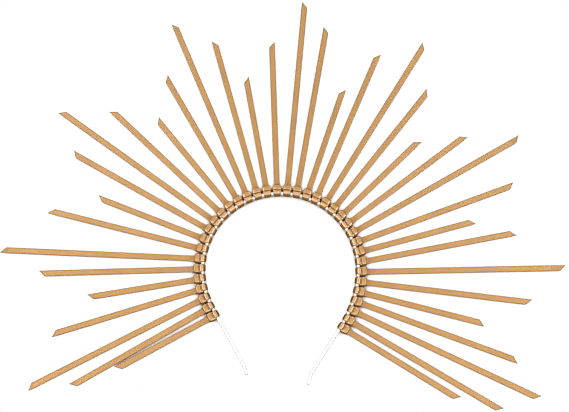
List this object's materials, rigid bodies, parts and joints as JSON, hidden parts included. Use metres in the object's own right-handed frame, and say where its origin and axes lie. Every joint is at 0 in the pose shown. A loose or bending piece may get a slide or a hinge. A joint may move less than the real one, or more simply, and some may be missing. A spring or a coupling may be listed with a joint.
{
  "type": "sunburst crown",
  "caption": "Halo crown that lies flat: gold cable ties looped side by side round a slim white headband, their cut tails standing out as rays of repeating lengths.",
  "frame": {"origin": "middle of the hoop, where the head goes in, on the surface that the crown lies on", "axes": "+Y towards the crown's top ray, +X to the right seen from the front, +Z out of the front, towards the toothed faces of the tails"},
  "size_m": [0.5256, 0.3962, 0.01],
  "materials": {
    "band_plastic": "milky white moulded plastic, slightly glossy",
    "gold_paint": "satin metallic gold paint on moulded nylon"
  },
  "bodies": {
    "root": {"headband": "band_plastic", "tie_01": "gold_paint", "tie_02": "gold_paint", "tie_03": "gold_paint", "tie_04": "gold_paint", "tie_05": "gold_paint", "tie_06": "gold_paint", "tie_07": "gold_paint", "tie_08": "gold_paint", "tie_09": "gold_paint", "tie_10": "gold_paint", "tie_11": "gold_paint", "tie_12": "gold_paint", "tie_13": "gold_paint", "tie_14": "gold_paint", "tie_15": "gold_paint", "tie_16": "gold_paint", "tie_17": "gold_paint", "tie_18": "gold_paint", "tie_19": "gold_paint", "tie_20": "gold_paint", "tie_21": "gold_paint", "tie_22": "gold_paint", "tie_23": "gold_paint", "tie_24": "gold_paint", "tie_25": "gold_paint", "tie_26": "gold_paint", "tie_27": "gold_paint", "tie_28": "gold_paint", "tie_29": "gold_paint", "tie_30": "gold_paint", "tie_31": "gold_paint", "tie_32": "gold_paint", "tie_33": "gold_paint", "tie_34": "gold_paint", "tie_35": "gold_paint", "tie_36": "gold_paint", "tie_37": "gold_paint"}
  },
  "joints": []
}
